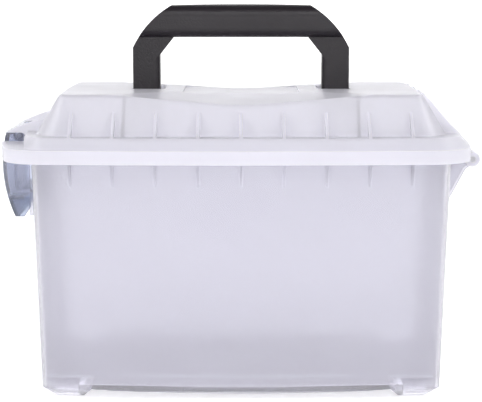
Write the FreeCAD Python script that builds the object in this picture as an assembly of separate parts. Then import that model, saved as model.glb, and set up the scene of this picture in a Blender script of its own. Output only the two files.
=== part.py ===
# Carrying case: a translucent tub, a domed lid hinged at one end, a latch at the other end and a folding
# handle on top. Millimetres. X runs from the latch to the hinge, Y runs away from the long front side,
# Z is up, and the origin lies on the plane that the feet stand on, in the middle of the case.
import FreeCAD, Part
import math
import os
from collections import namedtuple
from FreeCAD import Vector

# Moulding and fits
lid_wall = 1.8
tub_wall = 2.0
running_gap = 0.05       # radial, between a pin and the bore that turns on it
holding_gap = 0.02       # radial, between a pin and the bore that holds it
seat_gap = 0.3           # between the lid's ledge and the rim that it lies on
moving_gap = 0.6         # beside pieces that pass each other
overrun = 5.0            # how far a cut runs past the faces that it opens
touch = 0.02             # places closer than this count as one

# Tub
tub_half_length = 110.5
tub_half_depth = 68.0
tub_height = 133.5
tub_lean = 4.1           # how far each wall leans in, from the rim to the feet
tub_side_bow = 5.0
tub_end_bow = 5.5
tub_corner_radius = 14.0
floor_height = 7.2
sill_height = 5.2        # underside of the floor, beside the feet
sill_sag = 2.4           # how much lower the long sides hang half way along
foot_length = 29.0
foot_depth = 25.0
foot_slope = 4.5         # run of the slanted inner sides of a foot
foot_bevel_height = 4.5
foot_bevel_run = 6.5
foot_wall = 2.2
flange_drop = 8.1        # from the top of the rim down to the flange
flange_thickness = 2.0
flange_gap = 0.9         # between the flange and the lid's skirt
rib_pitch = 21.5
rib_width = 1.5
rib_count = 9
tub_rib_height = 12.7

# Catch on the tub's latch end
catch_width = 40.0
catch_reach = 10.0       # how far it stands out of the wall
catch_top_drop = 15.0    # from the top of the rim down to the catch
catch_height = 17.0
catch_wall = 2.0
catch_corner_radius = 4.0
guide_reach = 3.7        # plates below the catch that guide the latch
guide_height = 12.2

# Hinge
hinge_spacing = 38.0     # between the middles of the two hinges
hinge_length = 22.0
hinge_out = 1.8          # axis outside the skirt's end
hinge_drop = 2.4         # axis below the skirt's lower edge
hinge_pin_radius = 1.5
knuckle_radius = 3.9
knuckle_gap = 0.4
tub_knuckle_length = 10.0
bracket_plate = 2.4
bracket_height = 26.0
bracket_nose = 2.8       # the slanted edge starts this far inside the axis
bracket_nose_drop = 6.0
bracket_top_gap = 0.7    # below the skirt's lower edge

# Lid: skirt, bumper round the latch, collar and ledge
rim_overhang = 8.2
hinge_overhang = 9.0
collar_overhang = 6.3    # collar outside the tub's wall at the latch end
bumper_overhang = 16.6
bumper_bow = 13.0
lid_side_bow = 5.7
lid_end_bow = 5.8
skirt_overlap = 10.6     # from the top of the tub's rim down to the skirt's lower edge
skirt_height = 7.0
skirt_step = 0.6         # the collar starts this far inside the skirt
bevel_run = 4.0
ledge_round = 0.8

# Lid: dome
dome_height = 20.1
dome_lean = 12.0
dome_side_inset = 7.5    # foot of the dome inside the tub's long walls
dome_end_inset = 4.5
dome_bow = 2.0
dome_corner_radius = 16.5
dome_round = 1.4         # rounding of the dome's upper edge
dome_round_shares = ((1.0, 0.0), (0.0, 0.7))
dome_rib_height = 11.6
dome_rib_inset = 0.8     # rib's foot inside the ledge's outer edge
end_rib_reach = 44.0     # outermost ribs on the ends, from the middle
end_rib_drop = 0.8       # ribs at the hinge end rise to just below the dome's top
end_rib_brow = 1.6

# Lid: valleys in the top, hand recess and handle troughs
valley_angle = 6.0       # slope of a valley's bottom, down from the strip to the long side
flank_angle = 4.0        # slope of a valley's flanks
valley_radius = 180.0
strip_half_depth = 17.0  # level strip between the two valleys
recess_depth = 1.2
recess_half_length = 30.5
recess_half_depth = 25.0
trough_side_gap = 0.8
trough_bevel = 2.0
hanger_half_depth = 8.0
hanger_height = 30.0

# Handle
handle_half_span = 57.8
leg_width = 14.5
leg_thickness = 11.0
leg_gap = 0.5            # round the leg in its trough
leg_round = 2.6
handle_pivot_depth = 5.2 # pivot below the dome's top
handle_fold_angle = 64.0
pivot_radius = 3.0
pivot_length = 3.2
handle_height = 49.5     # from the pivot to the ends of the grip's top
crown_rise = 0.6
shoulder_height = 27.2   # from the pivot to where the outline leaves the leg
shoulder_run = 20.5
shoulder_bulge = 2.2
elbow_height = 23.4      # the same on the inner side
elbow_run = 7.3
grip_height = 17.5
grip_thickness = 18.0
grip_round = 7.5
grip_under_round = 5.0
core_wall = 4.2
core_depth = 12.5
core_length = 64.0
core_rib_count = 5
core_rib_width = 1.8
core_rib_recess = 2.5   # the ribs end this far inside the grip

# Latch
latch_width = 54.0
latch_side_gap = 0.8
latch_wall = 1.8
latch_pin_radius = 1.3
latch_pin_cover = 1.0    # the latch's flange outside the pin's near end
barrel_radius = 2.9
latch_knuckle_radius = 2.6
latch_knuckle_place = 16.5
latch_knuckle_length = 5.0
latch_slot_radius = 4.4  # room in the latch that a knuckle turns in
latch_pivot_out = 5.9    # pivot outside the tub's end wall
latch_pivot_drop = 3.2   # pivot below the ledge
latch_top_run = 6.0      # runs go outwards from the pivot, drops go down from it
latch_brow_run = 6.9
latch_brow_rise = 1.5
latch_belly_run = 8.8
latch_belly_drop = 16.4
latch_drop = 42.7
latch_foot_run = 2.8
latch_foot_width = 4.8
latch_heel_back = 5.2    # backs go inwards from the pivot, towards the tub
latch_heel_drop = 37.6
latch_waist_back = 2.9
latch_waist_drop = 14.0
latch_waist_slope = 1.6
latch_boss_radius = 1.6
latch_boss_height = 1.4
latch_boss_run = 1.1
latch_boss_drop = 25.0
hook_gap = 0.8
hook_thickness = 2.0
hook_back = 1.4
guard_thickness = 2.5    # arms of the lid beside the latch
guard_crest_rise = 6.8   # an arm's top at the dome, above the ledge
guard_bend_out = 6.5     # where its top edge turns down, outside the tub's end wall
guard_bend_rise = 1.9
guard_arch = 0.5
guard_out = 11.7
guard_low_drop = 1.0     # its lower edge, below the ledge
guard_fillet = 2.0

# Heights and places that follow
ledge_z = tub_height + seat_gap + lid_wall
skirt_z = tub_height - skirt_overlap
skirt_top_z = skirt_z + skirt_height
top_z = ledge_z + dome_height
strip_z = top_z - recess_depth
flange_z = tub_height - flange_drop
hinge_x = tub_half_length + hinge_overhang + hinge_out
hinge_z = skirt_z - hinge_drop
handle_pivot_z = top_z - handle_pivot_depth
latch_pivot_x = -tub_half_length - latch_pivot_out
latch_pivot_z = ledge_z - latch_pivot_drop
notch_half = latch_width / 2 + latch_side_gap
guard_half = notch_half + guard_thickness
latch_pin_span = (latch_pin_cover - latch_width / 2, latch_width / 2)
trough_out = handle_half_span + trough_side_gap
trough_in = handle_half_span - leg_width - trough_side_gap
mirror_signs = (-1, 1)

# A plan is a rectangle with bowed sides and round corners, seen from above. left, right and depth reach
# from the middle of the case to the middle of each side, and the rest are the radii of its arcs.
Plan = namedtuple("Plan", "left right depth left_radius right_radius side_radius corner_radius")


def bow_radius(half_chord, bow):
    return (half_chord ** 2 + bow ** 2) / (2 * bow)


def bowed_plan(left, right, depth, left_bow, right_bow, side_bow, corner_radius):
    return Plan(left, right, depth, bow_radius(depth, left_bow), bow_radius(depth, right_bow),
                bow_radius((left + right) / 2, side_bow), corner_radius)


def inset(plan, amount):
    """The plan drawn in by an amount all round: every arc keeps its centre."""
    return Plan(*[size - amount for size in plan])


tub_plan = bowed_plan(tub_half_length, tub_half_length, tub_half_depth,
                      tub_end_bow, tub_end_bow, tub_side_bow, tub_corner_radius)
skirt_plan = bowed_plan(tub_half_length + bumper_overhang, tub_half_length + hinge_overhang,
                        tub_half_depth + rim_overhang,
                        bumper_bow, lid_end_bow, lid_side_bow, tub_corner_radius + rim_overhang)
collar_plan = bowed_plan(tub_half_length + collar_overhang, skirt_plan.right - skirt_step,
                         skirt_plan.depth - skirt_step,
                         lid_end_bow, lid_end_bow, lid_side_bow, skirt_plan.corner_radius - skirt_step)
dome_foot_plan = bowed_plan(tub_half_length - dome_end_inset, tub_half_length - dome_end_inset,
                            tub_half_depth - dome_side_inset,
                            dome_bow, dome_bow, dome_bow, dome_corner_radius)


def middle_x(plan):
    return (plan.right - plan.left) / 2


def side_reach(plan, x):
    """How far the long side lies from the middle line, at one place along it."""
    radius = plan.side_radius
    return plan.depth - radius + math.sqrt(radius ** 2 - (x - middle_x(plan)) ** 2)


def end_arc(plan, sign):
    """Reach and radius of an end: sign is 1 at the hinge, -1 at the latch."""
    return (plan.right, plan.right_radius) if sign > 0 else (plan.left, plan.left_radius)


def end_reach(plan, sign, y):
    """How far an end lies from the middle, at one place across it."""
    reach, radius = end_arc(plan, sign)
    return reach - radius + math.sqrt(radius ** 2 - y ** 2)


def corner_points(plan, sign):
    """Where a corner arc on the far side leaves the long side, its middle, and where it meets the end."""
    reach, end_radius = end_arc(plan, sign)
    side_centre = Vector(middle_x(plan), plan.depth - plan.side_radius, 0)
    end_centre = Vector(sign * (reach - end_radius), 0, 0)
    between = end_centre - side_centre
    gap = between.Length
    to_side = plan.side_radius - plan.corner_radius
    to_end = end_radius - plan.corner_radius
    along = (gap ** 2 + to_side ** 2 - to_end ** 2) / (2 * gap)
    across = math.sqrt(to_side ** 2 - along ** 2)
    direction = between / gap
    square = Vector(direction.y, -direction.x, 0) * (sign * across)
    centre = side_centre + direction * along + square
    from_side = (centre - side_centre).normalize()
    from_end = (centre - end_centre).normalize()
    through = (from_side + from_end).normalize()
    return [centre + spoke * plan.corner_radius for spoke in (from_side, through, from_end)]


def plan_wire(plan, z):
    lift = Vector(0, 0, z)
    hinge = corner_points(plan, 1)
    latch = corner_points(plan, -1)

    def near(point):
        return Vector(point.x, -point.y, 0)

    side_mid = Vector(middle_x(plan), plan.depth, 0)
    arcs = [(latch[0], side_mid, hinge[0]),
            hinge,
            (hinge[2], Vector(plan.right, 0, 0), near(hinge[2])),
            [near(point) for point in reversed(hinge)],
            (near(hinge[0]), near(side_mid), near(latch[0])),
            [near(point) for point in latch],
            (near(latch[2]), Vector(-plan.left, 0, 0), latch[2]),
            list(reversed(latch))]
    return Part.Wire([Part.Arc(*[point + lift for point in arc]).toShape() for arc in arcs])


def stack(*levels):
    """Solid through plans at rising heights, straight between them."""
    return Part.makeLoft([plan_wire(plan, z) for plan, z in levels], True, True)


def box(x_span, y_span, z_span):
    low = Vector(x_span[0], y_span[0], z_span[0])
    return Part.makeBox(x_span[1] - x_span[0], y_span[1] - y_span[0], z_span[1] - z_span[0], low)


def outline(place, start, *steps):
    """Closed wire. A step is the end of a line, or a pair of points that an arc goes through and ends at."""
    edges = []
    here = place(*start)
    for step in steps + (start,):
        if isinstance(step[0], tuple):
            through, there = place(*step[0]), place(*step[1])
            edges.append(Part.Arc(here, through, there).toShape())
        else:
            there = place(*step)
            edges.append(Part.LineSegment(here, there).toShape())
        here = there
    return Part.Wire(edges)


def side_prism(y_span, start, *steps):
    """Solid from a profile in X and Z, carried across a span of Y."""
    wire = outline(lambda x, z: Vector(x, y_span[0], z), start, *steps)
    return Part.Face(wire).extrude(Vector(0, y_span[1] - y_span[0], 0))


def end_prism(x_span, start, *steps):
    """Solid from a profile in Y and Z, carried along a span of X."""
    wire = outline(lambda y, z: Vector(x_span[0], y, z), start, *steps)
    return Part.Face(wire).extrude(Vector(x_span[1] - x_span[0], 0, 0))


def rod_across(x, z, radius, y_span):
    return Part.makeCylinder(radius, y_span[1] - y_span[0], Vector(x, y_span[0], z), Vector(0, 1, 0))


def rod_along(y, z, radius, x_span):
    return Part.makeCylinder(radius, x_span[1] - x_span[0], Vector(x_span[0], y, z), Vector(1, 0, 0))


def centred(middle, length):
    return (middle - length / 2, middle + length / 2)


def mirrored_span(sign, low, high):
    """The span from low to high, on the side of the middle that sign gives."""
    return (low, high) if sign > 0 else (-high, -low)


def rib_places():
    return [(number - (rib_count - 1) / 2) * rib_pitch for number in range(rib_count)]


def hinge_middles():
    return [sign * hinge_spacing / 2 for sign in mirror_signs]


def tub_plan_at(z, thickness=0):
    return inset(tub_plan, tub_lean * (tub_height - z) / tub_height + thickness)


def make_tub():
    flange_plan = inset(tub_plan, lid_wall + flange_gap - rim_overhang)
    foot_plan = inset(tub_plan_at(0), foot_bevel_run)
    tub = stack((foot_plan, 0), (tub_plan_at(foot_bevel_height), foot_bevel_height), (tub_plan, tub_height))
    # The flange stops beside the latch, where the lid's wall passes close to the tub's end.
    flange = stack((flange_plan, flange_z - flange_thickness), (flange_plan, flange_z))
    latch_zone = centred(0, 2 * (notch_half + lid_wall + moving_gap))
    flange = flange.cut(box((-flange_plan.left - overrun, -tub_half_length + tub_end_bow), latch_zone,
                            (flange_z - flange_thickness, flange_z)))
    tub = tub.fuse([flange] + tub_ribs(flange_plan) + tub_brackets() + tub_catch())
    tub = tub.cut(tub_inside() + feet_cuts())
    bores = []
    for middle in hinge_middles():
        bores.append(rod_across(hinge_x, hinge_z, hinge_pin_radius + holding_gap,
                                centred(middle, hinge_length)))
    return tub.cut(bores).removeSplitter()


def tub_inside():
    """The hollow of the tub, with a pocket in each foot so that the wall stays even."""
    above = tub_height + overrun
    hollow = stack((tub_plan_at(floor_height, tub_wall), floor_height), (tub_plan_at(above, tub_wall), above))
    pocket_inset_run = foot_bevel_run * (foot_bevel_height - foot_wall) / foot_bevel_height
    low = stack((tub_plan_at(foot_wall, tub_wall + pocket_inset_run), foot_wall),
                (tub_plan_at(foot_bevel_height, tub_wall), foot_bevel_height),
                (tub_plan_at(floor_height, tub_wall), floor_height + overrun))
    pockets = []
    for x_sign in mirror_signs:
        for y_sign in mirror_signs:
            x_span = mirrored_span(x_sign, tub_half_length - foot_length + foot_wall, tub_half_length)
            y_span = mirrored_span(y_sign, tub_half_depth - foot_depth + foot_wall, tub_half_depth)
            pockets.append(low.common(box(x_span, y_span, (0, floor_height + overrun))))
    return [hollow] + pockets


def feet_cuts():
    """What is cut away under the floor, along and across the case, so that four corner feet stay."""
    foot_x = tub_half_length - foot_length
    foot_y = tub_half_depth - foot_depth
    depth = tub_half_depth + overrun
    length = tub_half_length + overrun
    along = side_prism((-depth, depth),
                       (-foot_x, -overrun), (-foot_x, 0), (foot_slope - foot_x, sill_height),
                       ((0, sill_height - sill_sag), (foot_x - foot_slope, sill_height)),
                       (foot_x, 0), (foot_x, -overrun))
    across = end_prism((-length, length),
                       (-foot_y, -overrun), (-foot_y, 0), (foot_slope - foot_y, sill_height),
                       (foot_y - foot_slope, sill_height), (foot_y, 0), (foot_y, -overrun))
    return [along, across]


def tub_ribs(flange_plan):
    """Pointed gussets under the flange, on both long sides."""
    top = flange_z - flange_thickness
    tip = top - tub_rib_height
    ribs = []
    for x in rib_places():
        wall_top = side_reach(tub_plan_at(top), x)
        wall_tip = side_reach(tub_plan_at(tip), x)
        outer = side_reach(flange_plan, x) - flange_gap
        for sign in mirror_signs:
            ribs.append(end_prism(centred(x, rib_width),
                                  (sign * (wall_top - tub_wall / 2), top + flange_thickness / 2),
                                  (sign * outer, top + flange_thickness / 2),
                                  (sign * outer, top),
                                  (sign * wall_tip, tip),
                                  (sign * (wall_tip - tub_wall / 2), tip)))
    return ribs


def tub_brackets():
    """Two plates and a barrel for each hinge, standing out of the tub's hinge end."""
    top = skirt_z - bracket_top_gap
    low = top - bracket_height
    pieces = []
    for middle in hinge_middles():
        y_span = centred(middle, tub_knuckle_length)
        pieces.append(rod_across(hinge_x, hinge_z, knuckle_radius, y_span))
        wall_top = end_reach(tub_plan_at(top), 1, middle) - tub_wall / 2
        wall_low = end_reach(tub_plan_at(low), 1, middle)
        nose = (hinge_x - bracket_nose, hinge_z - bracket_nose_drop)
        for plate in ((y_span[0], y_span[0] + bracket_plate), (y_span[1] - bracket_plate, y_span[1])):
            pieces.append(side_prism(plate, (wall_top, top), (hinge_x, top),
                                     (hinge_x, hinge_z - knuckle_radius), nose,
                                     (wall_low, low), (wall_low - tub_wall / 2, low)))
    return pieces


def tub_catch():
    """Loop with a round lower corner that the latch hooks under, and a guide plate below each of its ends."""
    top = tub_height - catch_top_drop
    low = top - catch_height
    wall_x = -end_reach(tub_plan_at(top), -1, catch_width / 2) + tub_wall / 2
    outer_x = -tub_half_length - catch_reach
    bend = 1 - math.sqrt(1 / 2)

    def loop(thickness, y_span):
        radius = catch_corner_radius - thickness
        x = outer_x + thickness
        z = low + thickness
        return side_prism(y_span, (wall_x, top - thickness), (x, top - thickness), (x, z + radius),
                          ((x + bend * radius, z + bend * radius), (x + radius, z)), (wall_x, z))

    y_span = centred(0, catch_width)
    open_span = (y_span[0] - overrun, y_span[1] + overrun)
    pieces = [loop(0, y_span).cut(loop(catch_wall, open_span))]
    guide_x = -end_reach(tub_plan_at(low), -1, catch_width / 2) - guide_reach
    for sign in mirror_signs:
        plate = mirrored_span(sign, catch_width / 2 - catch_wall, catch_width / 2)
        pieces.append(box((guide_x, wall_x), plate, (low - guide_height, low + catch_wall / 2)))
    return pieces


def dome_plan_at(z, thickness=0, extra=0):
    """Plan of the dome at one height: it leans in as it rises, and extra rounds its upper edge."""
    return inset(dome_foot_plan, dome_lean * (z - ledge_z) / dome_height + thickness + extra)


def dome_block(thickness, low_z):
    """The dome, or its hollow when a wall's thickness is given, from low_z up."""
    levels = [(dome_plan_at(low_z, thickness), low_z)]
    for height_share, inset_share in dome_round_shares:
        z = top_z - thickness - dome_round * height_share
        levels.append((dome_plan_at(z, thickness, dome_round * inset_share), z))
    dome = stack(*levels)
    cuts = [valley(sign, thickness) for sign in mirror_signs]
    strip = strip_z - thickness
    cuts.append(box(centred(0, 2 * recess_half_length), centred(0, 2 * recess_half_depth), (strip, top_z)))
    return dome.cut(cuts)


def valley(sign, thickness):
    """Shallow valley with a round bottom, sloping down from the strip to one long side of the dome."""
    tilt = math.radians(valley_angle)
    flank = math.radians(flank_angle)
    run = Vector(0, sign * math.cos(tilt), -math.sin(tilt))
    up = Vector(0, sign * math.sin(tilt), math.cos(tilt))
    back = strip_half_depth / math.cos(tilt)
    start = Vector(0, sign * strip_half_depth, strip_z) - run * back
    radius = valley_radius + thickness
    half = tub_half_length
    turn = (radius * math.sin(flank), valley_radius - radius * math.cos(flank))
    brow = turn[1] + (half - turn[0]) * math.tan(flank)
    wire = outline(lambda x, rise: start + Vector(x, 0, 0) + up * rise,
                   (-half, brow), (-turn[0], turn[1]), ((0, -thickness), turn), (half, brow),
                   (half, dome_height), (-half, dome_height))
    return Part.Face(wire).extrude(run * (tub_half_depth + back))


def trough(reach, x_span):
    """The room that a leg sweeps about its pivot, from upright to folded, out to a reach round the leg."""
    fold = math.radians(handle_fold_angle)
    low = (reach * math.cos(fold), handle_pivot_z - reach * math.sin(fold))
    turn = (math.pi + fold) / 2
    through = (reach * math.cos(turn), handle_pivot_z - reach * math.sin(turn))
    high = top_z + overrun
    far = low[0] + (high - low[1]) * math.tan(fold)
    return end_prism(x_span, (-reach, high), (-reach, handle_pivot_z), (through, low), (far, high))


def lid_hollow():
    """Inside of the lid, less the walls in it: behind the latch, round the legs and across the dome."""
    under = ledge_z - lid_wall
    low = skirt_z - overrun
    skirt_inside = inset(skirt_plan, lid_wall)
    collar_inside = inset(collar_plan, lid_wall)
    ledge_inside = inset(collar_plan, lid_wall + bevel_run)
    skirt_roof = skirt_top_z - lid_wall
    hollow = stack((skirt_inside, low), (skirt_inside, skirt_roof))
    collar_hollow = stack((collar_inside, skirt_roof), (collar_inside, skirt_top_z), (ledge_inside, under))
    hollow = hollow.fuse([collar_hollow.common(latch_end_trim(lid_wall)), dome_block(lid_wall, under)])
    walls = []
    zone = centred(0, 2 * (notch_half + lid_wall))
    outside = -skirt_plan.left - overrun
    walls.append(box((outside, latch_face_x() + lid_wall), zone, (low, top_z)))
    for sign in mirror_signs:
        walls.append(trough(leg_thickness / 2 + leg_gap + lid_wall,
                            mirrored_span(sign, trough_in - lid_wall, trough_out + lid_wall)))
        plate = mirrored_span(sign, trough_out, trough_out + lid_wall)
        walls.append(box(plate, centred(0, 2 * hanger_half_depth), (top_z - hanger_height, top_z)))
        walls.append(box(plate, centred(0, 2 * tub_half_depth), (under, top_z)))
    return hollow.cut(walls)


def latch_face_x():
    """Outer face of the lid behind the latch, clear of the tub's end wall."""
    return -tub_half_length - moving_gap - lid_wall


def latch_end_trim(thickness):
    """Upright drum that ends the collar at the latch in a steep bowed wall, or in that wall's inner face."""
    reach, radius = end_arc(collar_plan, -1)
    trimmed = radius - reach - latch_face_x() - thickness
    return Part.makeCylinder(trimmed, top_z, Vector(radius - reach, 0, 0))


def make_lid():
    ledge_plan = inset(collar_plan, bevel_run)
    skirt = stack((skirt_plan, skirt_z), (skirt_plan, skirt_top_z))
    collar = stack((collar_plan, skirt_top_z), (ledge_plan, ledge_z - ledge_round),
                   (inset(ledge_plan, ledge_round), ledge_z))
    lid = skirt.fuse([collar.common(latch_end_trim(0)), dome_block(0, ledge_z)])
    notch = box((-skirt_plan.left - overrun, latch_face_x()), centred(0, 2 * notch_half),
                (skirt_z - overrun, ledge_z + overrun))
    lid = lid.cut([lid_hollow(), notch])
    lid = lid.fuse(lid_ribs(ledge_plan) + latch_guards() + latch_knuckles() + lid_knuckles())

    cuts = [rod_across(latch_pivot_x, latch_pivot_z, latch_pin_radius + holding_gap, latch_pin_span)]
    for middle in hinge_middles():
        cuts.append(rod_across(hinge_x, hinge_z, hinge_pin_radius + running_gap,
                               centred(middle, hinge_length)))
        cuts.append(rod_across(hinge_x, hinge_z, knuckle_radius + moving_gap,
                               centred(middle, tub_knuckle_length + 2 * knuckle_gap)))
    for sign in mirror_signs:
        cuts.append(trough(leg_thickness / 2 + leg_gap, mirrored_span(sign, trough_in, trough_out)))
        cuts.append(trough_bevel_cut(sign))
        cuts.append(rod_along(0, handle_pivot_z, pivot_radius + running_gap,
                              mirrored_span(sign, trough_in, trough_out + lid_wall)))
    return lid.cut(cuts).removeSplitter()


def trough_bevel_cut(sign):
    """Bevel on the inner edge of a trough, where the leg springs in when it is fitted."""
    reach = leg_thickness / 2 + leg_gap
    high = top_z + overrun
    inner = trough_in - trough_bevel - overrun
    return side_prism((-reach, strip_half_depth + trough_bevel),
                      (sign * trough_in, top_z - trough_bevel), (sign * inner, high),
                      (sign * trough_in, high))


def lid_ribs(ledge_plan):
    """Gussets from the dome's walls to the ledge, on both long sides, and taller ones at the hinge end."""
    low = ledge_z - lid_wall / 2
    high = ledge_z + dome_rib_height
    half_wall = lid_wall / 2
    ribs = []
    for x in rib_places():
        foot = side_reach(dome_plan_at(ledge_z), x)
        crest = side_reach(dome_plan_at(high), x)
        outer = side_reach(ledge_plan, x) - ledge_round - dome_rib_inset
        for sign in mirror_signs:
            ribs.append(end_prism(centred(x, rib_width),
                                  (sign * (crest - half_wall), high), (sign * crest, high),
                                  (sign * outer, ledge_z), (sign * outer, low),
                                  (sign * (foot - half_wall), low)))
    for y in rib_places():
        if abs(y) <= end_rib_reach:
            brow = top_z - end_rib_drop
            foot = end_reach(dome_plan_at(ledge_z), 1, y)
            crest = end_reach(dome_plan_at(brow), 1, y)
            outer = end_reach(ledge_plan, 1, y) - ledge_round - dome_rib_inset
            ribs.append(side_prism(centred(y, rib_width),
                                   (crest - half_wall, brow), (crest + end_rib_brow, brow),
                                   (outer, ledge_z), (outer, low), (foot - half_wall, low)))
    return ribs


def latch_guards():
    """Arms beside the latch that lean on the dome's end, stand on the bumper and reach out over it."""
    low = ledge_z - lid_wall / 2
    shelf = skirt_top_z - lid_wall / 2
    crest_z = ledge_z + guard_crest_rise
    face_x = latch_face_x()
    foot_x = -end_reach(dome_plan_at(ledge_z, lid_wall / 2), -1, guard_half)
    crest_x = -end_reach(dome_plan_at(crest_z, lid_wall / 2), -1, guard_half)
    bend = (-tub_half_length - guard_bend_out, ledge_z + guard_bend_rise)
    arch = ((crest_x + bend[0]) / 2, (crest_z + bend[1]) / 2 + guard_arch)
    tip_x = -tub_half_length - guard_out
    arm_z = ledge_z - guard_low_drop
    turn = guard_fillet * (1 - math.sqrt(1 / 2))
    arms = []
    for sign in mirror_signs:
        arms.append(side_prism(mirrored_span(sign, notch_half, guard_half),
                               (crest_x, crest_z), (arch, bend),
                               (tip_x, latch_pivot_z + barrel_radius), (tip_x, arm_z),
                               (face_x - guard_fillet, arm_z),
                               ((face_x - turn, arm_z - turn), (face_x, arm_z - guard_fillet)),
                               (face_x, shelf), (face_x + lid_wall, shelf), (face_x + lid_wall, low),
                               (foot_x, low)))
    return arms


def latch_knuckles():
    """Two rounded blocks on the lid's end wall that hold the latch's pin."""
    root_x = latch_face_x() + lid_wall / 2
    knuckles = []
    for sign in mirror_signs:
        y_span = centred(sign * latch_knuckle_place, latch_knuckle_length)
        nose = rod_across(latch_pivot_x, latch_pivot_z, latch_knuckle_radius, y_span)
        block = box((latch_pivot_x, root_x), y_span, centred(latch_pivot_z, 2 * latch_knuckle_radius))
        knuckles.append(nose.fuse(block))
    return knuckles


def lid_knuckles():
    knuckles = []
    for middle in hinge_middles():
        for sign in mirror_signs:
            low, high = mirrored_span(sign, tub_knuckle_length / 2 + knuckle_gap, hinge_length / 2)
            knuckles.append(rod_across(hinge_x, hinge_z, knuckle_radius, (middle + low, middle + high)))
    return knuckles


def latch_profile(thickness, y_span, opening):
    """Side of the latch. For its hollow it is drawn in by a wall's thickness, and opened towards the tub."""
    def place(run, drop):
        return (latch_pivot_x - run, latch_pivot_z - drop)

    top = thickness - barrel_radius
    waist = -latch_waist_back - opening
    heel = -latch_heel_back - opening
    return side_prism(y_span,
                      place(-opening, top),
                      place(latch_top_run - thickness / 2, top),
                      place(latch_brow_run - thickness, thickness - latch_brow_rise),
                      (place(latch_belly_run - thickness, latch_belly_drop),
                       place(latch_foot_run - thickness, latch_drop)),
                      place(latch_foot_run - latch_foot_width - opening, latch_drop),
                      place(heel, latch_heel_drop),
                      place(heel, latch_waist_drop),
                      place(waist, latch_waist_drop - latch_waist_slope),
                      place(waist, 0),
                      place(-opening, 0))


def make_latch():
    """Curved plate with a flange at each side, a hook shelf inside and a slotted barrel at its upper edge."""
    half = latch_width / 2
    inside = half - latch_wall
    y_span = (-half, half)
    barrel = rod_across(latch_pivot_x, latch_pivot_z, barrel_radius, y_span)
    body = latch_profile(0, y_span, 0)
    hollow = latch_profile(latch_wall, (-inside, inside), overrun)
    hook_z = tub_height - catch_top_drop - catch_height - hook_gap
    hook = box((latch_pivot_x - latch_belly_run, latch_pivot_x + hook_back), y_span,
               (hook_z - hook_thickness, hook_z)).common(body)
    pieces = [hook, barrel]
    cuts = [rod_across(latch_pivot_x, latch_pivot_z, latch_pin_radius + running_gap,
                       (latch_pin_span[0] - knuckle_gap, half))]
    for sign in mirror_signs:
        pieces.append(rod_across(latch_pivot_x - latch_boss_run, latch_pivot_z - latch_boss_drop,
                                 latch_boss_radius, mirrored_span(sign, inside - latch_boss_height, half)))
        cuts.append(rod_across(latch_pivot_x, latch_pivot_z, latch_slot_radius,
                               centred(sign * latch_knuckle_place, latch_knuckle_length + 2 * knuckle_gap)))
    return body.cut(hollow).fuse(pieces).cut(cuts).removeSplitter()


def handle_outline(y_span):
    """Bail seen from the front: two legs, slanted elbows and a slightly crowned top."""
    out_x = handle_half_span
    in_x = handle_half_span - leg_width
    top_x = out_x - shoulder_run
    low = handle_pivot_z
    shoulder_z = low + shoulder_height
    top = low + handle_height
    slope = math.hypot(shoulder_run, top - shoulder_z)
    bulge_x = (out_x + top_x) / 2 + shoulder_bulge * (top - shoulder_z) / slope
    bulge_z = (shoulder_z + top) / 2 + shoulder_bulge * shoulder_run / slope
    under = top + crown_rise - grip_height
    elbow = (in_x - elbow_run, under)
    return side_prism(y_span, (-out_x, low), (-out_x, shoulder_z), ((-bulge_x, bulge_z), (-top_x, top)),
                      ((0, top + crown_rise), (top_x, top)), ((bulge_x, bulge_z), (out_x, shoulder_z)),
                      (out_x, low), (in_x, low), (in_x, low + elbow_height), elbow,
                      (-elbow[0], under), (-in_x, low + elbow_height), (-in_x, low))


def rounded_bar(x_span, half, low, high, low_radius, high_radius):
    """Bar along X with its four long edges rounded."""
    bend_share = 1 - math.sqrt(1 / 2)
    low_bend = low_radius * bend_share
    high_bend = high_radius * bend_share
    return end_prism(x_span,
                     (half - low_radius, low),
                     ((half - low_bend, low + low_bend), (half, low + low_radius)),
                     (half, high - high_radius),
                     ((half - high_bend, high - high_bend), (half - high_radius, high)),
                     (high_radius - half, high),
                     ((high_bend - half, high - high_bend), (-half, high - high_radius)),
                     (-half, low + low_radius),
                     ((low_bend - half, low + low_bend), (low_radius - half, low)))


def make_grip():
    """Thick upper bar of the bail: long edges rounded, ends flush with the shoulders, cored from below."""
    high = handle_pivot_z + handle_height + crown_rise
    under = high - grip_height
    half = grip_thickness / 2
    rounded = rounded_bar(centred(0, 2 * handle_half_span), half, under, high,
                          grip_under_round, grip_round)
    bar = handle_outline((-half, half)).common(rounded)
    core_span = centred(0, grip_thickness - 2 * core_wall)
    bar = bar.cut(box(centred(0, core_length), core_span, (under - overrun, under + core_rib_recess)))
    bay = core_length / (core_rib_count + 1)
    for number in range(core_rib_count + 1):
        middle = (number - core_rib_count / 2) * bay
        bar = bar.cut(box(centred(middle, bay - core_rib_width), core_span,
                          (under - overrun, under + core_depth)))
    return bar


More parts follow.
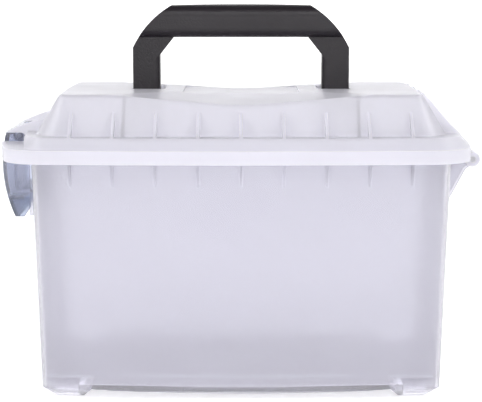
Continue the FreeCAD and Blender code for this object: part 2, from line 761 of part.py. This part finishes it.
def make_handle():
    half = leg_thickness / 2
    under = handle_pivot_z + handle_height + crown_rise - grip_height
    bail = handle_outline((-half, half))
    inner = handle_half_span - leg_width
    leg_edges = []
    for edge in bail.Edges:
        on_inner_side = abs(abs(edge.CenterOfMass.x) - inner) < touch
        if on_inner_side and edge.BoundBox.ZLength > elbow_height - touch:
            leg_edges.append(edge)
    bail = bail.makeFillet(leg_round, leg_edges)
    middle = box(centred(0, 2 * (inner - elbow_run)), centred(0, leg_thickness),
                 (under, under + 2 * grip_height))
    pieces = [make_grip()]
    for sign in mirror_signs:
        pieces.append(rod_along(0, handle_pivot_z, half, mirrored_span(sign, inner, handle_half_span)))
        pieces.append(rod_along(0, handle_pivot_z, pivot_radius,
                                mirrored_span(sign, inner, handle_half_span + pivot_length)))
    return bail.cut(middle).fuse(pieces).removeSplitter()


def make_parts():
    near, far = hinge_middles()
    return {
        "tub": make_tub(),
        "lid": make_lid(),
        "latch": make_latch(),
        "latch_pin": rod_across(latch_pivot_x, latch_pivot_z, latch_pin_radius, latch_pin_span),
        "handle": make_handle(),
        "hinge_pin_near": rod_across(hinge_x, hinge_z, hinge_pin_radius, centred(near, hinge_length)),
        "hinge_pin_far": rod_across(hinge_x, hinge_z, hinge_pin_radius, centred(far, hinge_length)),
    }


os.makedirs("parts", exist_ok=True)
for name, shape in make_parts().items():
    verdict = "valid" if shape.isValid() else "NOT VALID"
    print(name, len(shape.Solids), "solid", verdict, round(shape.Volume))
    shape.exportStep("parts/" + name + ".step")
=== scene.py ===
# %% [markdown]
# A carrying case for art and sewing supplies, dressed for a picture. The case is four large
# mouldings: a frosted tub, a milky lid, a smoke-blue latch and a black handle, with three plain
# pins. Their shapes come ready from the construction model, in metres, so this lesson is about
# camera, light and plastics.

# %% Load the construction model
import bpy
import math
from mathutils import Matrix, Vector

def rounded(point, digits=4):
    return tuple(round(v, digits) for v in point)


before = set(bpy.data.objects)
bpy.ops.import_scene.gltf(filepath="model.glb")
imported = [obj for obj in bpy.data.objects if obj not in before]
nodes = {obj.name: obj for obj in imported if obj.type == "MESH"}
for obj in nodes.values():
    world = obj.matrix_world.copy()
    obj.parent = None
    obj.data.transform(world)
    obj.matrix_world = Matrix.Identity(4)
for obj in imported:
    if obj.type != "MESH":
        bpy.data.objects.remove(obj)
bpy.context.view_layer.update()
print("pieces:", ", ".join(sorted(nodes)))

# %% [markdown]
# The picture is a catalogue shot with a long lens: the case is seen on its long side, a little from
# above, and its far edges are only slightly smaller than its near ones. A short lens close by would
# spread the near edges apart, and a view without perspective would draw the far edges as long as
# the near ones. A lens of 112 mm, less than a metre away and tipped down by 8.5 degrees, gives the
# same convergence as the real shot.

# %% Camera
sensor_mm, lens_mm = 36.0, 112.0
tipped_down_deg = 8.5
camera_place = (0.0, -0.810, 0.215)

camera_data = bpy.data.cameras.new("catalogue_camera")
camera_data.sensor_width = sensor_mm
camera_data.lens = lens_mm
camera = bpy.data.objects.new("catalogue_camera", camera_data)
camera.location = camera_place
camera.rotation_euler = (math.radians(90.0 - tipped_down_deg), 0.0, 0.0)
bpy.context.scene.collection.objects.link(camera)
bpy.context.scene.camera = camera
print("camera at", rounded(camera.location, 3), "lens", camera_data.lens)

# %% [markdown]
# The floor is a sheet of paper that runs back and curves up into a backdrop, as photographers hang
# it, so no horizon line shows. A curved sheet is quicker to light evenly than a floor and a wall
# that meet in a corner.

# %% Paper sweep
def paper_sweep(half_width, front, turn, radius, height, steps):
    """A sheet that lies flat from front to turn, bends up with that radius and rises to a height."""
    profile = [(front, 0.0), (turn, 0.0)]
    for step in range(1, steps + 1):
        angle = math.radians(90.0) * step / steps
        profile.append((turn + radius * math.sin(angle), radius * (1.0 - math.cos(angle))))
    profile.append((turn + radius, height))
    points = [(side * half_width, y, z) for y, z in profile for side in (-1, 1)]
    faces = [(2 * i, 2 * i + 1, 2 * i + 3, 2 * i + 2) for i in range(len(profile) - 1)]
    mesh = bpy.data.meshes.new("paper_sweep")
    mesh.from_pydata(points, [], faces)
    mesh.shade_smooth()
    sheet = bpy.data.objects.new("paper_sweep", mesh)
    bpy.context.scene.collection.objects.link(sheet)
    return sheet


sweep = paper_sweep(half_width=6.0, front=-4.0, turn=3.0, radius=2.0, height=6.0, steps=16)
print("paper sweep with", len(sweep.data.polygons), "faces")

# %% [markdown]
# White paper in a studio is lit until it is brighter than anything that stands on it. Lamps behind
# the case could do that, but they would shine through the frosted walls in patches. Here the paper
# glows by itself, the backdrop more than the floor, so that what is seen through the case is even.

# %% Paper
paper_white = (0.95, 0.95, 0.955, 1.0)
light_white = (1.0, 1.0, 1.0, 1.0)


def shader_inputs(material):
    material.use_nodes = True
    return material.node_tree.nodes["Principled BSDF"].inputs


def white_paper(name, glow):
    material = bpy.data.materials.new(name)
    inputs = shader_inputs(material)
    inputs["Base Color"].default_value = paper_white
    inputs["Roughness"].default_value = 0.9
    inputs["Specular IOR Level"].default_value = 0.1
    inputs["Emission Color"].default_value = light_white
    inputs["Emission Strength"].default_value = glow
    return material


sweep.data.materials.append(white_paper("floor_paper", glow=0.5))
sweep.data.materials.append(white_paper("lit_backdrop_paper", glow=0.95))
for face in sweep.data.polygons[1:]:
    face.material_index = 1
print("papers:", [paper.name for paper in sweep.data.materials])

# %% [markdown]
# The room round the paper is white at eye level and dim overhead. One even white would be simpler,
# but it would mirror in the top edge of the black grip and turn it grey. The direction of a ray is
# read from the Generated coordinate, and its height sets the strength of the background.

# %% Room
horizon_glow, overhead_glow = 0.42, 0.1

world = bpy.data.worlds.new("white_room")
world.use_nodes = True
room = world.node_tree
background = room.nodes["Background"].inputs
background["Color"].default_value = light_white
place = room.nodes.new("ShaderNodeTexCoord")
direction = room.nodes.new("ShaderNodeSeparateXYZ")
dimmer = room.nodes.new("ShaderNodeMapRange")
dimmer.inputs["To Min"].default_value = horizon_glow
dimmer.inputs["To Max"].default_value = overhead_glow
room.links.new(place.outputs["Generated"], direction.inputs["Vector"])
room.links.new(direction.outputs["Z"], dimmer.inputs["Value"])
room.links.new(dimmer.outputs["Result"], background["Strength"])
bpy.context.scene.world = world
bpy.context.scene.view_settings.view_transform = "Standard"
print("room glows from", horizon_glow, "at the horizon to", overhead_glow, "overhead")

# %% [markdown]
# Two tall soft boxes in front, one on each side, draw a thin bright line down each round corner of
# the tub. A wide one above the camera and one high on each side light the ledge and the lid's top,
# and a small one near the camera draws the soft highlight along the black grip. The grip runs from
# left to right, so light from the sides never mirrors in it.

# %% Soft boxes
case_middle = (0.0, 0.0, 0.1)


def soft_box(name, location, size, watts):
    """A lamp with a wide face that looks at the middle of the case."""
    lamp = bpy.data.lights.new(name, "AREA")
    lamp.shape = "RECTANGLE"
    lamp.size, lamp.size_y = size
    lamp.energy = watts
    light = bpy.data.objects.new(name, lamp)
    light.location = location
    aim = Vector(case_middle) - Vector(location)
    light.rotation_euler = aim.to_track_quat("-Z", "Y").to_euler()
    bpy.context.scene.collection.objects.link(light)


soft_box("left_box", location=(-1.3, -1.4, 0.5), size=(0.35, 1.5), watts=6.0)
soft_box("right_box", location=(1.3, -1.4, 0.5), size=(0.35, 1.5), watts=5.0)
soft_box("front_box", location=(0.0, -1.6, 1.65), size=(1.6, 0.6), watts=15.0)
soft_box("low_front_box", location=(0.0, -2.0, 0.5), size=(0.9, 0.25), watts=6.0)
soft_box("high_left_box", location=(-1.7, -0.2, 1.5), size=(1.0, 1.0), watts=17.0)
soft_box("high_right_box", location=(1.7, -0.2, 1.5), size=(1.0, 1.0), watts=17.0)

# %% [markdown]
# All the plastics share one effect: the fine grain that a textured mould leaves on a surface. It
# could be built anew in every material. As a node group with named inputs it is built once, and
# each plastic places it with its own scale and roughness.

# %% Mould grain as a node group
def new_group(name, inputs, outputs):
    """An empty group with its sockets, and the two nodes that stand for them inside."""
    group = bpy.data.node_groups.new(name, "ShaderNodeTree")
    for label, kind, value in inputs:
        socket = group.interface.new_socket(label, in_out="INPUT", socket_type=kind)
        socket.default_value = value
    for label, kind in outputs:
        group.interface.new_socket(label, in_out="OUTPUT", socket_type=kind)
    return group, group.nodes.new("NodeGroupInput"), group.nodes.new("NodeGroupOutput")


def mould_grain_group():
    """Height of a fine grain, and a roughness that wanders a little from place to place."""
    group, into, out = new_group(
        "mould_grain",
        [("Vector", "NodeSocketVector", (0, 0, 0)), ("Grain Scale", "NodeSocketFloat", 900.0),
         ("Rough Low", "NodeSocketFloat", 0.4), ("Rough High", "NodeSocketFloat", 0.5)],
        [("Height", "NodeSocketFloat"), ("Roughness", "NodeSocketFloat")])
    links = group.links
    grain = group.nodes.new("ShaderNodeTexNoise")
    grain.inputs["Detail"].default_value = 3.0
    links.new(into.outputs["Vector"], grain.inputs["Vector"])
    links.new(into.outputs["Grain Scale"], grain.inputs["Scale"])
    patches = group.nodes.new("ShaderNodeTexNoise")
    patches.inputs["Scale"].default_value = 45.0
    patches.inputs["Detail"].default_value = 4.0
    links.new(into.outputs["Vector"], patches.inputs["Vector"])
    spread = group.nodes.new("ShaderNodeMapRange")
    spread.inputs["From Min"].default_value = 0.3
    spread.inputs["From Max"].default_value = 0.7
    links.new(patches.outputs["Fac"], spread.inputs["Value"])
    links.new(into.outputs["Rough Low"], spread.inputs["To Min"])
    links.new(into.outputs["Rough High"], spread.inputs["To Max"])
    links.new(grain.outputs["Fac"], out.inputs["Height"])
    links.new(spread.outputs["Result"], out.inputs["Roughness"])
    return group


mould_grain = mould_grain_group()
print("group", mould_grain.name, "with", len(mould_grain.nodes), "nodes")

# %% [markdown]
# A moulded plastic is never quite one colour: the melt flows in streaks. A plain colour would look
# like paint. A second group turns a noise that is stretched along the height into a colour between
# two near tints.

# %% Melt streaks as a node group
streak_stretch = (1.0, 1.0, 0.35)


def melt_streaks_group():
    """A colour that drifts between a tint and its streaks."""
    group, into, out = new_group(
        "melt_streaks",
        [("Vector", "NodeSocketVector", (0, 0, 0)), ("Tint", "NodeSocketColor", (1, 1, 1, 1)),
         ("Streak", "NodeSocketColor", (1, 1, 1, 1)), ("Scale", "NodeSocketFloat", 12.0)],
        [("Color", "NodeSocketColor")])
    links = group.links
    stretch = group.nodes.new("ShaderNodeMapping")
    stretch.inputs["Scale"].default_value = streak_stretch
    links.new(into.outputs["Vector"], stretch.inputs["Vector"])
    clouds = group.nodes.new("ShaderNodeTexNoise")
    clouds.inputs["Detail"].default_value = 5.0
    clouds.inputs["Distortion"].default_value = 0.6
    links.new(stretch.outputs["Vector"], clouds.inputs["Vector"])
    links.new(into.outputs["Scale"], clouds.inputs["Scale"])
    mix = group.nodes.new("ShaderNodeMix")
    mix.data_type = "RGBA"
    links.new(clouds.outputs["Fac"], mix.inputs["Factor"])
    links.new(into.outputs["Tint"], mix.inputs["A"])
    links.new(into.outputs["Streak"], mix.inputs["B"])
    links.new(mix.outputs["Result"], out.inputs["Color"])
    return group


melt_streaks = melt_streaks_group()
print("group", melt_streaks.name, "with", len(melt_streaks.nodes), "nodes")

# %% [markdown]
# Clear and milky plastics carry light inside them and let it out where they end, so rims, ribs and
# creases look brighter than the flat walls. Tracing that light through every wall would take long.
# A third group paints that light on instead: it compares the true normal with one that is rounded
# over each edge, and gives a faint painted glow, an emission, where the two differ.

# %% Painted edge glow as a node group
bevel_samples = 4


def painted_edge_glow_group():
    """A painted glow on the edges and none on the flat walls."""
    group, into, out = new_group(
        "painted_edge_glow",
        [("Glow", "NodeSocketColor", (1, 1, 1, 1)), ("Reach", "NodeSocketFloat", 0.001),
         ("Gain", "NodeSocketFloat", 3.0)],
        [("Color", "NodeSocketColor")])
    links = group.links
    round_edges = group.nodes.new("ShaderNodeBevel")
    round_edges.samples = bevel_samples
    links.new(into.outputs["Reach"], round_edges.inputs["Radius"])
    surface = group.nodes.new("ShaderNodeNewGeometry")
    alike = group.nodes.new("ShaderNodeVectorMath")
    alike.operation = "DOT_PRODUCT"
    links.new(round_edges.outputs["Normal"], alike.inputs[0])
    links.new(surface.outputs["Normal"], alike.inputs[1])
    differ = group.nodes.new("ShaderNodeMath")
    differ.operation = "SUBTRACT"
    differ.inputs[0].default_value = 1.0
    links.new(alike.outputs["Value"], differ.inputs[1])
    raised = group.nodes.new("ShaderNodeMath")
    raised.operation = "MULTIPLY"
    raised.use_clamp = True
    links.new(differ.outputs["Value"], raised.inputs[0])
    links.new(into.outputs["Gain"], raised.inputs[1])
    mix = group.nodes.new("ShaderNodeMix")
    mix.data_type = "RGBA"
    mix.inputs["A"].default_value = (0.0, 0.0, 0.0, 1.0)
    links.new(raised.outputs["Value"], mix.inputs["Factor"])
    links.new(into.outputs["Glow"], mix.inputs["B"])
    links.new(mix.outputs["Result"], out.inputs["Color"])
    return group


painted_edge_glow = painted_edge_glow_group()
print("group", painted_edge_glow.name, "with", len(painted_edge_glow.nodes), "nodes")

# %% [markdown]
# Some places have painted light and shade in their colour: the lid's ledge and skirt are painted
# whiter than its dome, the tub is painted whiter at its rim and feet, both as painted light, and
# the latch is painted darker at the lip that a finger pulls, as painted shade. Separate materials
# would need the meshes split. A fourth group marks those places by their height on the case
# instead, with a short fade.

# %% Painted light and shade by height as a node group
fade_per_metre, half_way = 600.0, 0.5


def painted_shading_places_group():
    """Mask of painted light and shade: 1 below a low height and above a high one, 0 between them."""
    group, into, out = new_group(
        "painted_shading_places",
        [("Vector", "NodeSocketVector", (0, 0, 0)), ("Low", "NodeSocketFloat", 0.0),
         ("High", "NodeSocketFloat", 1.0)],
        [("Mask", "NodeSocketFloat")])
    links = group.links
    spot = group.nodes.new("ShaderNodeSeparateXYZ")
    links.new(into.outputs["Vector"], spot.inputs["Vector"])
    painted_shading_mask = group.nodes.new("ShaderNodeMath")
    painted_shading_mask.operation = "MAXIMUM"
    below = (into.outputs["Low"], spot.outputs["Z"])
    above = (spot.outputs["Z"], into.outputs["High"])
    for slot, (first, second) in enumerate((below, above)):
        beyond = group.nodes.new("ShaderNodeMath")
        beyond.operation = "SUBTRACT"
        links.new(first, beyond.inputs[0])
        links.new(second, beyond.inputs[1])
        ramp = group.nodes.new("ShaderNodeMath")
        ramp.operation = "MULTIPLY_ADD"
        ramp.use_clamp = True
        ramp.inputs[1].default_value = fade_per_metre
        ramp.inputs[2].default_value = half_way
        links.new(beyond.outputs["Value"], ramp.inputs[0])
        links.new(ramp.outputs["Value"], painted_shading_mask.inputs[slot])
    links.new(painted_shading_mask.outputs["Value"], out.inputs["Mask"])
    return group


painted_shading_places = painted_shading_places_group()
print("group", painted_shading_places.name, "with", len(painted_shading_places.nodes), "nodes")

# %% [markdown]
# Each plastic is one Principled shader that these groups feed. The groups give what changes over
# the surface: colour with its painted light and shade, roughness, grain and a painted glow. What is
# the same all over, such as how much light goes through, is set on the shader itself. A Bevel node
# under the grain shades sharp edges as slightly round, because no mould has a truly sharp edge, and
# it leaves the meshes as they are.

# %% Parts of a plastic
grain_depth = 0.0004


def opaque(colour):
    return (*colour, 1.0)


def place_group(tree, group, values, vector=None):
    """Puts a group into a material, with its own values and the coordinate that it reads."""
    node = tree.nodes.new("ShaderNodeGroup")
    node.node_tree = group
    for label, value in values.items():
        node.inputs[label].default_value = value
    if vector:
        tree.links.new(vector, node.inputs["Vector"])
    return node


def streaked_colour(tree, spot, tint, streak, streak_scale, painted_shading):
    """Colour with its streaks, and painted light and shade by height where a plastic has them."""
    streaks = place_group(
        tree, melt_streaks,
        {"Tint": opaque(tint), "Streak": opaque(streak), "Scale": streak_scale}, spot)
    if not painted_shading:
        return streaks.outputs["Color"]
    low, high, painted_shading_colour = painted_shading
    painted_shading_mask = place_group(tree, painted_shading_places, {"Low": low, "High": high}, spot)
    painted_shading_mix = tree.nodes.new("ShaderNodeMix")
    painted_shading_mix.data_type = "RGBA"
    tree.links.new(painted_shading_mask.outputs["Mask"], painted_shading_mix.inputs["Factor"])
    tree.links.new(streaks.outputs["Color"], painted_shading_mix.inputs["A"])
    painted_shading_mix.inputs["B"].default_value = opaque(painted_shading_colour)
    return painted_shading_mix.outputs["Result"]


def grained_normal(tree, height, bump, edge):
    """Normal of the grain, on edges that are shaded as round."""
    soft_edges = tree.nodes.new("ShaderNodeBevel")
    soft_edges.samples = bevel_samples
    soft_edges.inputs["Radius"].default_value = edge
    relief = tree.nodes.new("ShaderNodeBump")
    relief.inputs["Strength"].default_value = bump
    relief.inputs["Distance"].default_value = grain_depth
    tree.links.new(height, relief.inputs["Height"])
    tree.links.new(soft_edges.outputs["Normal"], relief.inputs["Normal"])
    return relief.outputs["Normal"]


print("groups to place:", [group.name for group in bpy.data.node_groups])

# %% [markdown]
# The function below puts a plastic together. It could be written out five times, once for each
# plastic, but then a better grain would have to be mended in five places. The painted glow at the
# edges and the painted light and shade by height are left out where a plastic has none.

# %% A moulded plastic
plastic_ior = 1.49
coat_roughness = 0.3


def moulded_plastic(name, tint, streak, streak_scale, grain_scale, rough, bump, edge=0.0006,
                    transmission=0.0, glow=0.0, specular=0.5, coat=0.0, painted_shading=None):
    material = bpy.data.materials.new(name)
    inputs = shader_inputs(material)
    tree = material.node_tree
    spot = tree.nodes.new("ShaderNodeTexCoord").outputs["Object"]
    colour = streaked_colour(tree, spot, tint, streak, streak_scale, painted_shading)
    rough_low, rough_high = rough
    grain = place_group(
        tree, mould_grain,
        {"Grain Scale": grain_scale, "Rough Low": rough_low, "Rough High": rough_high}, spot)
    normal = grained_normal(tree, grain.outputs["Height"], bump, edge)
    tree.links.new(colour, inputs["Base Color"])
    tree.links.new(grain.outputs["Roughness"], inputs["Roughness"])
    tree.links.new(normal, inputs["Normal"])
    inputs["Transmission Weight"].default_value = transmission
    inputs["IOR"].default_value = plastic_ior
    inputs["Specular IOR Level"].default_value = specular
    inputs["Coat Weight"].default_value = coat
    inputs["Coat Roughness"].default_value = coat_roughness
    # Painted glow on the edges: an emission in the streak colour that stands in for light carried
    # through the plastic.
    if glow:
        painted_rim_glow = place_group(tree, painted_edge_glow, {"Glow": opaque(streak)})
        tree.links.new(painted_rim_glow.outputs["Color"], inputs["Emission Color"])
        inputs["Emission Strength"].default_value = glow
    return material


print("every plastic bends light by", plastic_ior)

# %% [markdown]
# Tub and lid are the same kind of plastic, but the lid's is milkier: it scatters more of the light
# that falls on it, and lets less of it through. Real scattering inside the walls would be slow and
# turns grey in walls as thin as these, so the milk is the part of the shader that is not
# transmission, and the frost is its roughness.

# %% Lid and tub
ledge_top, foot_top, rim_bottom = 0.1365, 0.008, 0.1225
above_the_case = 1.0

# Below the ledge top the lid is painted whiter: painted light on its ledge and skirt.
milky = moulded_plastic(
    "milky_lid_plastic", tint=(0.87, 0.86, 0.925), streak=(0.89, 0.88, 0.94), streak_scale=9.0,
    grain_scale=700.0, rough=(0.34, 0.42), bump=0.1, transmission=0.6, glow=0.22, coat=0.08,
    painted_shading=(ledge_top, above_the_case, (0.935, 0.925, 0.99)))
# Below the top of its feet and above the rim's bottom the tub is painted whiter: painted light.
frosted = moulded_plastic(
    "frosted_tub_plastic", tint=(0.75, 0.742, 0.813), streak=(0.784, 0.776, 0.84), streak_scale=9.0,
    grain_scale=700.0, rough=(0.18, 0.24), bump=0.08, transmission=0.86, glow=0.22, coat=0.2,
    painted_shading=(foot_top, rim_bottom, (0.84, 0.83, 0.897)))
print("made", milky.name, "and", frosted.name)

# %% [markdown]
# The smoke blue of the latch lies in the depth of its plastic. A darker surface colour alone would
# tint thin and thick places alike, so the inside absorbs light along the way: the thin flanges stay
# clear, and the plate that is seen along its width draws a dark line down the latch's outer side.

# %% Latch
lip_top = 0.1005

# Below its lip top the latch is painted darker: painted shade on the lip that a finger pulls.
smoke = moulded_plastic(
    "smoke_blue_plastic", tint=(0.7, 0.73, 0.86), streak=(0.74, 0.77, 0.89), streak_scale=20.0,
    grain_scale=900.0, rough=(0.12, 0.2), bump=0.05, transmission=0.94,
    painted_shading=(lip_top, above_the_case, (0.45, 0.495, 0.63)))
smoke_tree = smoke.node_tree
smoke_depth = smoke_tree.nodes.new("ShaderNodeVolumeAbsorption")
smoke_depth.inputs["Color"].default_value = (0.1, 0.1, 0.2, 1.0)
smoke_depth.inputs["Density"].default_value = 22.0
smoke_output = smoke_tree.nodes["Material Output"]
smoke_tree.links.new(smoke_depth.outputs["Volume"], smoke_output.inputs["Volume"])
print("made", smoke.name, "with depth", smoke_depth.inputs["Density"].default_value)

# %% [markdown]
# The handle is black plastic with a fine pebbled texture, deep enough to spread the highlight along
# the grip. The pins are plain uncoloured plastic, and only their ends show. A fine bump does for
# the pebbles, because they are much smaller than anything that shows in the outline.

# %% Handle and pins
black = moulded_plastic(
    "black_textured_plastic", tint=(0.0105, 0.0082, 0.011), streak=(0.017, 0.0136, 0.0178),
    streak_scale=60.0, grain_scale=1000.0, rough=(0.28, 0.36), bump=0.5, edge=0.0009, specular=0.34)
natural = moulded_plastic(
    "natural_pin_plastic", tint=(0.8, 0.795, 0.83), streak=(0.86, 0.855, 0.88), streak_scale=40.0,
    grain_scale=1200.0, rough=(0.35, 0.45), bump=0.1, transmission=0.6)
print("made", black.name, "and", natural.name)

# %% [markdown]
# Every piece takes one plastic, as each is one moulding. The meshes come with plain materials from
# the construction model, which are cleared first.

# %% Dress the pieces
finishes = {"tub": frosted, "lid": milky, "latch": smoke, "handle": black, "latch_pin": natural,
            "hinge_pin_near": natural, "hinge_pin_far": natural}
for name, finish in finishes.items():
    nodes[name].data.materials.clear()
    nodes[name].data.materials.append(finish)
print("finishes:", {name: finish.name for name, finish in finishes.items()})
